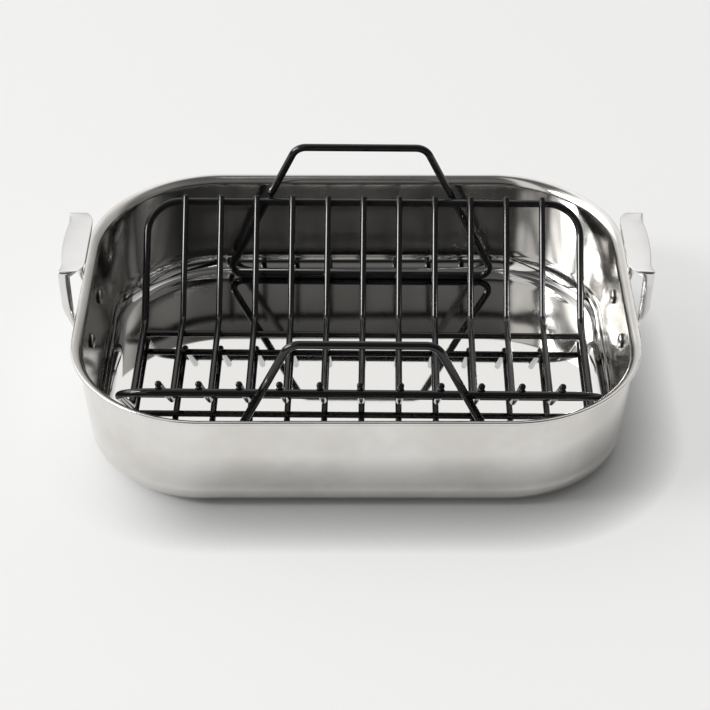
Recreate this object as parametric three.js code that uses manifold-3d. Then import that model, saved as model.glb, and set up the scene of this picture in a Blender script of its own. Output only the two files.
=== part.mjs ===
// Roasting pan with a loose wire rack.
//
// A round-cornered stainless pan with a flared pouring lip carries two cast handles,
// each held to an end wall by two rivets. A black rack of bent and welded wire stands
// in the pan on the bottom bars of its two carrying loops, and lifts straight out.
//
// Millimetres, +Z up. The origin is the middle of the underside of the pan. +X runs
// along the pan to the right handle, and +Y runs to its back.

import * as THREE from 'three';
import Module from 'manifold-3d';
import { mergeVertices } from 'three/addons/utils/BufferGeometryUtils.js';

const wasm = await Module();
wasm.setup();

const { degToRad, lerp, smoothstep } = THREE.MathUtils;

// Gap between pieces that touch
const FIT_GAP = 0.3;

// Pan, pressed from one sheet
const RIM_LENGTH = 406;
const RIM_WIDTH = 318;
const RIM_CORNER_RADIUS = 98;
const PAN_HEIGHT = 84;
const SHEET = 2.6;
const LIP_RADIUS = 7;
const LIP_ANGLE = degToRad(78);
const WALL_LEAN = degToRad(4);
const BASE_RADIUS = 16;

// Cast handles: a grip plate over two legs, each leg with a foot on the end wall
const HANDLE_RISE = 41;
const HANDLE_SPAN = 80;
const PLATE_WIDTH = 18.8;
const PLATE_THICKNESS = 5;
const PLATE_OVERHANG = 9;
const LEG_WIDTH = 7.6;
const LEG_DEPTH = 8;
const LEG_SPLAY = 8;
const BEND_OUTER_RADIUS = 2.5;
const BEND_INNER_RADIUS = 5;
const LIP_CLEARANCE = 0.9;
const FOOT_WIDTH = 16;
const FOOT_THICKNESS = 4.5;
const FOOT_LENGTH = 19;
const CASTING_ROUND = 1.5;

// Outline of a foot below the leg: [place along its half length, share of its width]
const FOOT_SHAPE = [[-1, 0.5], [-0.85, 0.78], [-0.55, 0.96], [0, 1], [1, 1]];

// Rivets, one through each foot
const RIVET_SPACING = HANDLE_SPAN - LEG_DEPTH - 2 * LEG_SPLAY;
const RIVET_DROP = 28;
const RIVET_SHANK_RADIUS = 2.5;
const RIVET_HEAD_RADIUS = 5.6;
const RIVET_HEAD_HEIGHT = 2.3;
const RIVET_TAIL_RADIUS = 4.2;
const RIVET_TAIL_HEIGHT = 1.4;
const RIVET_EDGE_SHARE = 0.3;

// Rack wire
const THICK_WIRE_RADIUS = 2.9;
const THIN_WIRE_RADIUS = 2.4;
const BRACE_RADIUS = 2.4;

// Rack frame, and the wires and braces that are welded to it
const RACK_SIDE_MARGIN = 2;
const RACK_END_MARGIN = 5.1;
const FRAME_DROP = 5.2;
const FRAME_CORNER_RADIUS = 26;
const FRAME_BEND_RADIUS = 16;
const CRADLE_WIDTH = 107;
const DECK_HEIGHT = 14;
const WIRE_COUNT = 11;
const WIRE_END_DISTANCE = 30;
const WIRE_BEND_RADIUS = 11;
const WIRE_TIP = 4;
const BRACE_INSET = 15;

// Carrying loops of the rack: a narrow grip above the rim, a wide stand on the floor
const GRIP_RISE = 41;
const GRIP_WIDTH = 100;
const GRIP_BEND_RADIUS = 12;
const STAND_END_MARGIN = 14;
const STAND_BEND_RADIUS = 8;
const FRONT_LOOP_SHIFT = 1.8;
const BACK_LOOP_SHIFT = -2.3;

// How the loose rack lies in the pan
const RACK_TURN = degToRad(-0.75);
const RACK_SHIFT_X = 4.3;
const RACK_SHIFT_Y = 1.7;

// Fineness of the facets
const PAN_CORNER_STEPS = 10;
const PROFILE_STEPS = 5;
const CASTING_CORNER_STEPS = 2;
const LEG_STEPS = 4;
const BEND_STEP = degToRad(15);
const THICK_WIRE_SIDES = 10;
const THIN_WIRE_SIDES = 8;
const RIVET_SIDES = 16;

// Looks
const POLISHED_STEEL = { color: 0xd6d7d9, roughness: 0.16, metalness: 1 };
const CAST_STEEL = { color: 0xcfd0d2, roughness: 0.24, metalness: 1 };
const RIVET_STEEL = { color: 0xc2c3c5, roughness: 0.3, metalness: 1 };
const BLACK_COATING = { color: 0x191a1c, roughness: 0.42, metalness: 0.1 };

const AXIS_X = new THREE.Vector3(1, 0, 0);
const AXIS_Y = new THREE.Vector3(0, 1, 0);
const AXIS_Z = new THREE.Vector3(0, 0, 1);

// A skin of triangles through rings of equally many points. An open skin is capped at
// both ends, and a closed one joins its last ring to its first.
function loft(rings, closed = false) {
  const count = rings[0].length;
  const points = rings.flat();
  const index = [];
  const bands = closed ? rings.length : rings.length - 1;
  for (let band = 0; band < bands; band++) {
    const low = band * count;
    const high = ((band + 1) % rings.length) * count;
    for (let i = 0; i < count; i++) {
      const j = (i + 1) % count;
      index.push(low + i, low + j, high + j);
      index.push(low + i, high + j, high + i);
    }
  }
  if (!closed) {
    capRing(points, index, 0, count, true);
    capRing(points, index, (rings.length - 1) * count, count, false);
  }
  return outwardGeometry(points, index);
}

// Closes an end ring, which starts at point `first`, with a fan about its middle.
function capRing(points, index, first, count, reversed) {
  const middle = new THREE.Vector3();
  points.slice(first, first + count).forEach((point) => middle.addScaledVector(point, 1 / count));
  const hub = points.push(middle) - 1;
  for (let i = 0; i < count; i++) {
    const here = first + i;
    const next = first + ((i + 1) % count);
    index.push(hub, reversed ? next : here, reversed ? here : next);
  }
}

// A geometry whose triangles face out: they are all turned over if its volume is negative.
function outwardGeometry(points, index) {
  let volume = 0;
  const cross = new THREE.Vector3();
  for (let i = 0; i < index.length; i += 3) {
    cross.crossVectors(points[index[i + 1]], points[index[i + 2]]);
    volume += points[index[i]].dot(cross);
  }
  const geometry = new THREE.BufferGeometry().setFromPoints(points);
  return geometry.setIndex(volume < 0 ? index.reverse() : index);
}

// A rectangle about the origin with rounded corners, as points
function roundedRectangle(width, height, radius, steps) {
  const points = [];
  const corners = [[1, 1], [-1, 1], [-1, -1], [1, -1]];
  corners.forEach(([sideX, sideY], quarter) => {
    for (let i = 0; i <= steps; i++) {
      const angle = (quarter + i / steps) * (Math.PI / 2);
      const x = sideX * (width / 2 - radius) + radius * Math.cos(angle);
      const y = sideY * (height / 2 - radius) + radius * Math.sin(angle);
      points.push(new THREE.Vector2(x, y));
    }
  });
  return points;
}

// A path through corners { at, radius }, each rounded to its radius
function roundedPath(corners, closed = false) {
  return corners.flatMap(({ at, radius }, i) => {
    const isEnd = !closed && (i === 0 || i === corners.length - 1);
    if (isEnd) {
      return [at];
    }
    return cornerArc(corners.at(i - 1).at, at, corners[(i + 1) % corners.length].at, radius);
  });
}

// The arc that rounds one corner of a path
function cornerArc(before, corner, after, radius) {
  const back = before.clone().sub(corner).normalize();
  const onward = after.clone().sub(corner).normalize();
  const turn = Math.PI - back.angleTo(onward);
  const reach = radius * Math.tan(turn / 2);
  const middle = back.clone().add(onward).normalize();
  const centre = corner.clone().addScaledVector(middle, Math.hypot(radius, reach));
  const from = corner.clone().addScaledVector(back, reach).sub(centre);
  const to = corner.clone().addScaledVector(onward, reach).sub(centre);
  const steps = Math.ceil(turn / BEND_STEP);
  return Array.from({ length: steps + 1 }, (_, i) => {
    const share = i / steps;
    const point = centre.clone();
    point.addScaledVector(from, Math.sin((1 - share) * turn) / Math.sin(turn));
    return point.addScaledVector(to, Math.sin(share * turn) / Math.sin(turn));
  });
}

// Round wire along a path. `side` is a direction square to the start of the path.
function wire(path, radius, sides, side, closed = false) {
  const normal = side.clone();
  const rings = path.map((point, i) => {
    const before = closed || i > 0 ? path.at(i - 1) : point;
    const after = closed || i < path.length - 1 ? path[(i + 1) % path.length] : point;
    const back = point.clone().sub(before).normalize();
    const onward = after.clone().sub(point).normalize();
    const along = back.add(onward).normalize();
    normal.addScaledVector(along, -normal.dot(along)).normalize();
    const across = along.clone().cross(normal);
    return Array.from({ length: sides }, (_, k) => {
      const angle = (2 * Math.PI * (k + 0.5)) / sides;
      const rim = point.clone().addScaledVector(normal, radius * Math.cos(angle));
      return rim.addScaledVector(across, radius * Math.sin(angle));
    });
  });
  return loft(rings, closed);
}

// The geometry as a solid that can be cut
function toSolid(geometry) {
  const bare = geometry.clone();
  bare.deleteAttribute('normal');
  bare.deleteAttribute('uv');
  const merged = mergeVertices(bare);
  return new wasm.Manifold(new wasm.Mesh({
    numProp: 3,
    vertProperties: new Float32Array(merged.getAttribute('position').array),
    triVerts: new Uint32Array(merged.index.array),
  }));
}

// The geometry with every tool cut out of it
function cutAway(geometry, tools) {
  const rest = tools.reduce((solid, tool) => solid.subtract(toSolid(tool)), toSolid(geometry));
  const mesh = rest.getMesh();
  const result = new THREE.BufferGeometry();
  result.setAttribute('position', new THREE.BufferAttribute(mesh.vertProperties, 3));
  return result.setIndex(new THREE.BufferAttribute(mesh.triVerts, 1));
}

function piece(name, geometry, look) {
  geometry.computeVertexNormals();
  const mesh = new THREE.Mesh(geometry, new THREE.MeshStandardMaterial(look));
  mesh.name = name;
  return mesh;
}

// Section of the pan. A place in it is [inset, z], with the inset measured inward from
// the edge of the lip. The lip and the base are arcs that run into the leaning wall.
const lipCentreInset = -LIP_RADIUS * Math.cos(LIP_ANGLE);
const lipCentreZ = PAN_HEIGHT - (LIP_RADIUS + SHEET) * Math.sin(LIP_ANGLE);

function lipPoint(radius, angle) {
  return [lipCentreInset + radius * Math.cos(angle), lipCentreZ + radius * Math.sin(angle)];
}

const [wallTopInset, wallTopZ] = lipPoint(LIP_RADIUS, WALL_LEAN);

// Inset of the wall's outer face at height z
function wallInset(z) {
  return wallTopInset + (wallTopZ - z) * Math.tan(WALL_LEAN);
}

const wallFootZ = BASE_RADIUS * (1 - Math.sin(WALL_LEAN));
const floorInset = wallInset(wallFootZ) + BASE_RADIUS * Math.cos(WALL_LEAN);

function basePoint(radius, angle) {
  return [floorInset - radius * Math.sin(angle), BASE_RADIUS - radius * Math.cos(angle)];
}

function arcOf(pointAt, radius, from, to) {
  return Array.from({ length: PROFILE_STEPS + 1 }, (_, i) => {
    return pointAt(radius, lerp(from, to, i / PROFILE_STEPS));
  });
}

// The corners leave each end wall flat where the two feet of its handle sit.
const cornerRadius = Math.min(RIM_CORNER_RADIUS, (RIM_WIDTH - RIVET_SPACING - FOOT_WIDTH) / 2);

// The rim's outline drawn in by an inset, at height z
function panRing([inset, z]) {
  const length = RIM_LENGTH - 2 * inset;
  const width = RIM_WIDTH - 2 * inset;
  const outline = roundedRectangle(length, width, cornerRadius - inset, PAN_CORNER_STEPS);
  return outline.map(({ x, y }) => new THREE.Vector3(x, y, z));
}

function panGeometry() {
  const upright = Math.PI / 2 - WALL_LEAN;
  const section = [
    ...arcOf(basePoint, BASE_RADIUS, 0, upright),
    ...arcOf(lipPoint, LIP_RADIUS, WALL_LEAN, LIP_ANGLE),
    ...arcOf(lipPoint, LIP_RADIUS + SHEET, LIP_ANGLE, WALL_LEAN),
    ...arcOf(basePoint, BASE_RADIUS - SHEET, upright, 0),
  ];
  const holes = [-1, 1].flatMap((end) => rivetHoles(end));
  return cutAway(loft(section.map(panRing)), holes);
}

// A rivet's seat is on the wall's outer face, with its Y axis square to the wall and
// pointing out of the pan. `end` and `side` are the signs of its X and Y.
const rivetZ = PAN_HEIGHT - RIVET_DROP;

function rivetSeat(end, side) {
  const seat = new THREE.Object3D();
  const x = end * (RIM_LENGTH / 2 - wallInset(rivetZ));
  const out = new THREE.Vector3(end * Math.cos(WALL_LEAN), 0, -Math.sin(WALL_LEAN));
  seat.position.set(x, (side * RIVET_SPACING) / 2, rivetZ);
  seat.quaternion.setFromUnitVectors(AXIS_Y, out);
  seat.updateMatrix();
  return seat;
}

function rivetHoles(end) {
  const radius = RIVET_SHANK_RADIUS + FIT_GAP;
  const length = 3 * (FOOT_THICKNESS + SHEET);
  return [-1, 1].map((side) => {
    const hole = new THREE.CylinderGeometry(radius, radius, length, RIVET_SIDES);
    return hole.applyMatrix4(rivetSeat(end, side).matrix);
  });
}

// Half section of a low domed head, from its rim to its top. It stands on `seat`, and
// `sign` is the way that it rises.
function domeSection(radius, height, seat, sign) {
  const edge = height * RIVET_EDGE_SHARE;
  return [0, 1, 2].map((i) => {
    const angle = (i * Math.PI) / 4;
    const rise = edge + (height - edge) * Math.sin(angle);
    return new THREE.Vector2(radius * Math.cos(angle), seat + sign * rise);
  });
}

// A head inside the pan, a shank through the wall and the foot, and a tail outside
function rivetGeometry() {
  const headSeat = -SHEET - FIT_GAP;
  const tailSeat = FOOT_THICKNESS + 2 * FIT_GAP;
  const section = [
    ...domeSection(RIVET_HEAD_RADIUS, RIVET_HEAD_HEIGHT, headSeat, -1).reverse(),
    new THREE.Vector2(RIVET_HEAD_RADIUS, headSeat),
    new THREE.Vector2(RIVET_SHANK_RADIUS, headSeat),
    new THREE.Vector2(RIVET_SHANK_RADIUS, tailSeat),
    new THREE.Vector2(RIVET_TAIL_RADIUS, tailSeat),
    ...domeSection(RIVET_TAIL_RADIUS, RIVET_TAIL_HEIGHT, tailSeat, 1),
  ];
  return new THREE.LatheGeometry(section, RIVET_SIDES);
}

// Sections of half a handle, from the end of the front foot to the near end of the grip
// plate. Each reaches from a point `far` on the outside of the loop to a point `near` on
// its inside, both [y, z]. `out` is the section's middle, measured outward from the edge
// of the lip, and `width` is its size along X.
function halfHandle() {
  const footY = -RIVET_SPACING / 2;
  const legY = -(HANDLE_SPAN - LEG_DEPTH) / 2;
  const legOut = LIP_CLEARANCE + LEG_WIDTH / 2;
  const plateOut = PLATE_OVERHANG - PLATE_WIDTH / 2;
  const plateTop = PAN_HEIGHT + HANDLE_RISE;
  const footTop = rivetZ + FOOT_LENGTH / 2;
  const legStart = PAN_HEIGHT - LIP_RADIUS;
  const bendZ = plateTop - PLATE_THICKNESS - BEND_INNER_RADIUS;

  const level = (y, z, depth) => ({ far: [y - depth / 2, z], near: [y + depth / 2, z] });

  // The foot lies on the wall and narrows to a rounded end.
  const footOut = (z) => FIT_GAP + FOOT_THICKNESS / 2 - wallInset(z);
  const foot = FOOT_SHAPE.map(([along, across]) => {
    const z = rivetZ + (along * FOOT_LENGTH) / 2;
    return { ...level(footY, z, across * FOOT_WIDTH), out: footOut(z), width: FOOT_THICKNESS };
  });

  // The leg sweeps out from the foot to clear the lip, and then rises to the bend.
  const leg = Array.from({ length: LEG_STEPS }, (_, i) => {
    const z = lerp(footTop, legStart, (i + 1) / LEG_STEPS);
    const swing = smoothstep(z, footTop, legStart);
    const y = lerp(footY, legY, (z - footTop) / (bendZ - footTop));
    return {
      ...level(y, z, lerp(FOOT_WIDTH, LEG_DEPTH, swing)),
      out: lerp(footOut(z), legOut, swing),
      width: lerp(FOOT_THICKNESS, LEG_WIDTH, swing),
    };
  });

  // The bend is nearly sharp outside and round inside, and widens from leg to plate.
  const farY = legY - LEG_DEPTH / 2 + BEND_OUTER_RADIUS;
  const farZ = plateTop - BEND_OUTER_RADIUS;
  const nearY = legY + LEG_DEPTH / 2 + BEND_INNER_RADIUS;
  const bend = Array.from({ length: PROFILE_STEPS + 1 }, (_, i) => {
    const share = i / PROFILE_STEPS;
    const back = Math.cos((share * Math.PI) / 2);
    const up = Math.sin((share * Math.PI) / 2);
    return {
      far: [farY - BEND_OUTER_RADIUS * back, farZ + BEND_OUTER_RADIUS * up],
      near: [nearY - BEND_INNER_RADIUS * back, bendZ + BEND_INNER_RADIUS * up],
      out: lerp(legOut, plateOut, share),
      width: lerp(LEG_WIDTH, PLATE_WIDTH, share),
    };
  });
  const plateEnd = { ...bend.at(-1), far: [nearY, plateTop] };
  return [...foot, ...leg, ...bend, plateEnd];
}

function handleGeometry(end) {
  const front = halfHandle();
  const back = front.map(({ far, near, ...rest }) => {
    return { far: [-far[0], far[1]], near: [-near[0], near[1]], ...rest };
  });
  const rings = [...front, ...back.reverse()].map(({ far, near, out, width }) => {
    const depth = Math.hypot(far[0] - near[0], far[1] - near[1]);
    const round = Math.min(CASTING_ROUND, width / 3, depth / 3);
    const outline = roundedRectangle(width, depth, round, CASTING_CORNER_STEPS);
    return outline.map((point) => {
      const share = 0.5 + point.y / depth;
      const x = end * (RIM_LENGTH / 2 + out + point.x);
      return new THREE.Vector3(x, lerp(near[0], far[0], share), lerp(near[1], far[1], share));
    });
  });
  return cutAway(loft(rings), rivetHoles(end));
}

// Places on the rack, whose middle is over the middle of the pan
const standZ = SHEET + FIT_GAP + THICK_WIRE_RADIUS;
const gripZ = PAN_HEIGHT + GRIP_RISE;
const loopY = RIM_WIDTH / 2 - floorInset - RACK_SIDE_MARGIN - THICK_WIRE_RADIUS;
const frameY = loopY - 2 * THICK_WIRE_RADIUS - FIT_GAP;
const frameX = RIM_LENGTH / 2 - floorInset - RACK_END_MARGIN - THICK_WIRE_RADIUS;
const frameTopZ = PAN_HEIGHT - FRAME_DROP;
const deckZ = SHEET + DECK_HEIGHT;
const wireLay = THICK_WIRE_RADIUS + THIN_WIRE_RADIUS + FIT_GAP;
const frameLowZ = deckZ - wireLay;
const frameLowY = CRADLE_WIDTH / 2;
const armAngle = Math.atan2(frameTopZ - frameLowZ, frameY - frameLowY);
const wireLowY = frameLowY - wireLay * Math.tan(armAngle / 2);

// The stand ends short of where the floor curves up at the corners of the pan.
const floorCorner = cornerRadius - floorInset;
const cornerRun = Math.sqrt(floorCorner ** 2 - (floorCorner - RACK_SIDE_MARGIN) ** 2);
const floorRun = RIM_LENGTH / 2 - cornerRadius + cornerRun;
const standReach = floorRun - STAND_END_MARGIN;

// The thick loop that edges the rack: a bar along the back and the front, a dip at both ends
function frameGeometry() {
  const dip = [
    [frameY, frameTopZ, FRAME_CORNER_RADIUS],
    [frameLowY, frameLowZ, FRAME_BEND_RADIUS],
    [-frameLowY, frameLowZ, FRAME_BEND_RADIUS],
    [-frameY, frameTopZ, FRAME_CORNER_RADIUS],
  ];
  const corners = [1, -1].flatMap((end) => dip.map(([y, z, radius]) => {
    return { at: new THREE.Vector3(end * frameX, end * y, z), radius };
  }));
  return wire(roundedPath(corners, true), THICK_WIRE_RADIUS, THICK_WIRE_SIDES, AXIS_Z, true);
}

// A thin wire that lies on the frame and the braces, bent to the dip of the frame
function crossWireGeometry(x) {
  const tipY = frameY - wireLay * Math.sin(armAngle) + WIRE_TIP * Math.cos(armAngle);
  const tipZ = frameTopZ + wireLay * Math.cos(armAngle) + WIRE_TIP * Math.sin(armAngle);
  const bends = [[tipY, tipZ], [wireLowY, deckZ], [-wireLowY, deckZ], [-tipY, tipZ]];
  const corners = bends.map(([y, z]) => {
    return { at: new THREE.Vector3(x, y, z), radius: WIRE_BEND_RADIUS };
  });
  return wire(roundedPath(corners), THIN_WIRE_RADIUS, THIN_WIRE_SIDES, AXIS_X);
}

// A straight bar under the wires, between the two ends of the frame
function braceGeometry(side) {
  const y = side * (frameLowY - BRACE_INSET);
  const z = deckZ - THIN_WIRE_RADIUS - BRACE_RADIUS - FIT_GAP;
  const reach = frameX - THICK_WIRE_RADIUS - FIT_GAP;
  const path = [new THREE.Vector3(-reach, y, z), new THREE.Vector3(reach, y, z)];
  return wire(path, BRACE_RADIUS, THIN_WIRE_SIDES, AXIS_Z);
}

// A carrying loop, upright against the outside of the frame's bar, `shift` off its middle
function loopGeometry(side, shift) {
  const outline = [
    [-GRIP_WIDTH / 2, gripZ, GRIP_BEND_RADIUS],
    [GRIP_WIDTH / 2, gripZ, GRIP_BEND_RADIUS],
    [standReach, standZ, STAND_BEND_RADIUS],
    [-standReach, standZ, STAND_BEND_RADIUS],
  ];
  const corners = outline.map(([x, z, radius]) => {
    return { at: new THREE.Vector3(x + shift, side * loopY, z), radius };
  });
  return wire(roundedPath(corners, true), THICK_WIRE_RADIUS, THICK_WIRE_SIDES, AXIS_Y, true);
}

function buildPan() {
  const pan = new THREE.Group();
  pan.add(piece('pan_shell', panGeometry(), POLISHED_STEEL));
  for (const [endName, end] of [['left', -1], ['right', 1]]) {
    pan.add(piece(`${endName}_handle`, handleGeometry(end), CAST_STEEL));
    for (const [sideName, side] of [['front', -1], ['back', 1]]) {
      const rivet = piece(`${endName}_${sideName}_rivet`, rivetGeometry(), RIVET_STEEL);
      const seat = rivetSeat(end, side);
      rivet.position.copy(seat.position);
      rivet.quaternion.copy(seat.quaternion);
      pan.add(rivet);
    }
  }
  return pan;
}

function buildRack() {
  const rack = new THREE.Group();
  rack.position.set(RACK_SHIFT_X, RACK_SHIFT_Y, 0);
  rack.rotation.z = RACK_TURN;
  rack.add(piece('rack_frame', frameGeometry(), BLACK_COATING));
  const wireReach = frameX - WIRE_END_DISTANCE;
  for (let i = 0; i < WIRE_COUNT; i++) {
    const x = lerp(-wireReach, wireReach, i / (WIRE_COUNT - 1));
    const number = String(i + 1).padStart(2, '0');
    rack.add(piece(`rack_wire_${number}`, crossWireGeometry(x), BLACK_COATING));
  }
  const sides = [['front', -1, FRONT_LOOP_SHIFT], ['back', 1, BACK_LOOP_SHIFT]];
  for (const [sideName, side, shift] of sides) {
    rack.add(piece(`rack_brace_${sideName}`, braceGeometry(side), BLACK_COATING));
    rack.add(piece(`rack_loop_${sideName}`, loopGeometry(side, shift), BLACK_COATING));
  }
  return rack;
}

const roastingPan = new THREE.Group();
roastingPan.name = 'roasting_pan';
roastingPan.add(buildPan(), buildRack());

export default roastingPan;
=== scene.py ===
# %% [markdown]
# # A roasting pan and its wire rack
#
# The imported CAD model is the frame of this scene: it says where every piece is. The
# lesson dresses it. Each piece is worked out again as a smooth surface, in the same
# place and with the same sizes, and gets the finish that the real one has.

import bpy
import numpy as np
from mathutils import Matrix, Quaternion, Vector


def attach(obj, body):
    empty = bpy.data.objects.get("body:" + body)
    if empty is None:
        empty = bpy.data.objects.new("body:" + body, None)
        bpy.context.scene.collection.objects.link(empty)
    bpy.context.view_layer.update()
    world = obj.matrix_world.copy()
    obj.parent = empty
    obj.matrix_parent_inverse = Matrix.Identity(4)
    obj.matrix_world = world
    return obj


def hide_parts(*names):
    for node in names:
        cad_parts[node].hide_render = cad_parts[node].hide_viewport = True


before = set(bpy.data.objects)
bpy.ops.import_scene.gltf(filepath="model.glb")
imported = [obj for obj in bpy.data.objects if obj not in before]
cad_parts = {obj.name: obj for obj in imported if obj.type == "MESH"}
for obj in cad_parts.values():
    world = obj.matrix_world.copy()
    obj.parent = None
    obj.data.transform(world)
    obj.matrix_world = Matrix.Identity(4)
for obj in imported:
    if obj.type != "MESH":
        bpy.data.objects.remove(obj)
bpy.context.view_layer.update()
print("CAD nodes:", len(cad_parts))

# %% [markdown]
# ## From arrays to a mesh
#
# All shapes below are grids of points: rows of rings. A cube or a cylinder with
# modifiers could stand in for some of them, but a pressed pan, a casting and bent wire
# are all one profile carried along a path, and that is a grid. numpy works out a whole
# grid at once, and `foreach_set` hands it to Blender. Sizes are in millimetres, as on a
# drawing, and become metres only when a mesh is made.

# %% Faces of a grid, and the mesh
MM = 0.001


def skin(rows, columns, closed=False):
    """Quads between neighbouring rings: each point, the next one round, and the two above them.

    A closed skin also joins its last ring to its first."""
    row = np.arange(rows if closed else rows - 1)[:, None]
    column = np.arange(columns)[None, :]
    here = row * columns
    above = (row + 1) % rows * columns
    beside = (column + 1) % columns
    corners = [here + column, here + beside, above + beside, above + column]
    return np.stack(corners, axis=-1).reshape(-1, 4)


def fan(ring, hub):
    """Triangles from each side of a ring of point numbers to one hub point."""
    return np.stack([ring, np.roll(ring, -1), np.full_like(ring, hub)], axis=-1)


def capped(rings):
    """Points and faces of an open skin, closed by a fan about the middle of each end ring."""
    rows, columns = rings.shape[:2]
    hubs = np.stack([rings[0].mean(axis=0), rings[-1].mean(axis=0)])
    points = np.concatenate([rings.reshape(-1, 3), hubs])
    first = np.arange(columns)
    last = first + (rows - 1) * columns
    fans = np.concatenate([fan(first[::-1], rows * columns), fan(last, rows * columns + 1)])
    return points, skin(rows, columns), fans


def enclosed(points, quads, triangles):
    """Six times the volume inside the faces: the sum of a . (b x c) over their triangles."""
    thirds = np.concatenate([quads[:, [0, 1, 2]], quads[:, [0, 2, 3]], triangles])
    a, b, c = points[thirds].transpose(1, 0, 2)
    return np.einsum("ij,ij->", a, np.cross(b, c))


NO_TRIANGLES = np.zeros((0, 3), int)


def make_piece(name, shape, body, finish, nodes=()):
    """Puts points and faces into a mesh that faces outwards, and hangs it on its CAD body."""
    points, quads, triangles = shape
    if enclosed(points, quads, triangles) < 0:
        quads, triangles = quads[:, ::-1], triangles[:, ::-1]
    corners = np.concatenate([quads.ravel(), triangles.ravel()])
    quad_starts = np.arange(len(quads)) * 4
    starts = np.concatenate([quad_starts, quads.size + np.arange(len(triangles)) * 3])
    mesh = bpy.data.meshes.new(name)
    mesh.vertices.add(len(points))
    mesh.vertices.foreach_set("co", (points * MM).ravel())
    mesh.loops.add(len(corners))
    mesh.loops.foreach_set("vertex_index", corners)
    mesh.polygons.add(len(starts))
    mesh.polygons.foreach_set("loop_start", starts)
    mesh.polygons.foreach_set("use_smooth", np.ones(len(starts), bool))
    mesh.update(calc_edges=True)
    mesh.validate()
    mesh.materials.append(finish)
    piece = bpy.data.objects.new(name, mesh)
    bpy.context.scene.collection.objects.link(piece)
    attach(piece, body)
    if nodes:
        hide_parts(*nodes)
    print(name, "faces:", len(starts))
    return piece


print("faces of a skin of 3 rings of 4 points:", len(skin(3, 4)))

# %% [markdown]
# ## Writing a finish as a sum
#
# A finish is a small graph of nodes. Wiring each Math node by hand hides the idea, so one
# class wraps a socket and lets Python's own operators add the nodes: `1 - mask` makes a
# Subtract node. Everything else comes from one method that takes a node's type, its
# settings and its inputs.

# %% Sockets that add and multiply
class Wire:
    """A socket of a node tree, for use in sums."""

    def __init__(self, recipe, socket):
        self.recipe = recipe
        self.socket = socket

    def math(self, operation, first, second):
        return self.recipe.node("ShaderNodeMath", {"operation": operation}, {0: first, 1: second})

    def __add__(self, other):
        return self.math("ADD", self, other)

    def __sub__(self, other):
        return self.math("SUBTRACT", self, other)

    def __rsub__(self, other):
        return self.math("SUBTRACT", other, self)

    def __mul__(self, other):
        return self.math("MULTIPLY", self, other)

    __radd__ = __add__
    __rmul__ = __mul__


class Recipe:
    """The node tree of a material or of the world."""

    def __init__(self, owner):
        owner.use_nodes = True
        self.tree = owner.node_tree
        self.tree.nodes.clear()

    def node(self, kind, settings=None, inputs=None, output=0):
        made = self.tree.nodes.new(kind)
        for key, value in (settings or {}).items():
            setattr(made, key, value)
        for key, value in (inputs or {}).items():
            if isinstance(value, Wire):
                self.tree.links.new(value.socket, made.inputs[key])
            else:
                made.inputs[key].default_value = value
        return Wire(self, made.outputs[output]) if made.outputs else None

    def noise(self, place, scale, detail):
        inputs = {"Vector": place, "Scale": scale, "Detail": detail}
        return self.node("ShaderNodeTexNoise", None, inputs)

    def stretched(self, place, scale):
        """The place with each axis multiplied by its own scale."""
        inputs = {0: place, 1: scale}
        return self.node("ShaderNodeVectorMath", {"operation": "MULTIPLY"}, inputs)

    def step(self, value, start, stop):
        """0 below start, 1 above stop, smooth between them."""
        settings = {"interpolation_type": "SMOOTHSTEP"}
        return self.node("ShaderNodeMapRange", settings, {0: value, 1: start, 2: stop})

    def blend(self, factor, first, second):
        """A colour between two colours."""
        inputs = {0: factor, 6: first, 7: second}
        return self.node("ShaderNodeMix", {"data_type": "RGBA"}, inputs, 2)

    def bump(self, height, distance, strength):
        inputs = {"Height": height, "Distance": distance, "Strength": strength}
        return self.node("ShaderNodeBump", None, inputs)

    def axis(self, vector, name):
        """One axis of a vector, by its letter."""
        return self.node("ShaderNodeSeparateXYZ", None, {0: vector}, name)

    def object_place(self):
        """Where a point is on its own object, so that the finish moves along with it."""
        return self.node("ShaderNodeTexCoord", None, None, "Object")

    def varied(self, pair, share):
        """The first number of a pair, and the second one times a share."""
        return pair[0] + share * pair[1]

    def finish(self, **sockets):
        """A Principled shader with these sockets, joined to the output."""
        inputs = {key.replace("_", " "): value for key, value in sockets.items()}
        shader = self.node("ShaderNodeBsdfPrincipled", None, inputs)
        self.node("ShaderNodeOutputMaterial", None, {"Surface": shader})


def new_finish(name):
    """A new material, and the recipe of its nodes."""
    material = bpy.data.materials.new(name)
    return material, Recipe(material)


# %% [markdown]
# ## Pan steel
#
# The pan is pressed from polished stainless sheet. Its walls lean out and bow a little, and
# end in a tight bend and a wider flare, the pouring lip. Inside, the floor is close to a
# mirror; the walls carry faint streaks up and down, from the press, that smear what they
# reflect. Outside, the polish is clouded where the pan was wiped. A texture picture would
# repeat and blur, so clouds and streaks are noise, and the streaks' noise is stretched along
# the surface. To follow the walls round the corners it can't use plain X, Y and Z: each point
# of the pan carries an attribute, its place round the rim wrapped on a circle, so that there
# is no seam, and its distance along the section. That distance also tells outside from
# inside and wall from floor.

# %% Sizes of the pan
RIM_LENGTH = 406.0
RIM_WIDTH = 318.0
RIM_CORNER_RADIUS = 98.0
PAN_HEIGHT = 84.0
SHEET = 2.6
LIP_RADIUS = 8.3
LIP_ANGLE = np.radians(78.0)
LIP_BEND_RADIUS = 1.4
LIP_BEND_ANGLE = np.radians(34.0)
LIP_EDGE_RADIUS = 0.9
WALL_LEAN = np.radians(4.0)
WALL_BOW_ANGLE = np.radians(2.5)
BASE_RADIUS = 16.0

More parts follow.
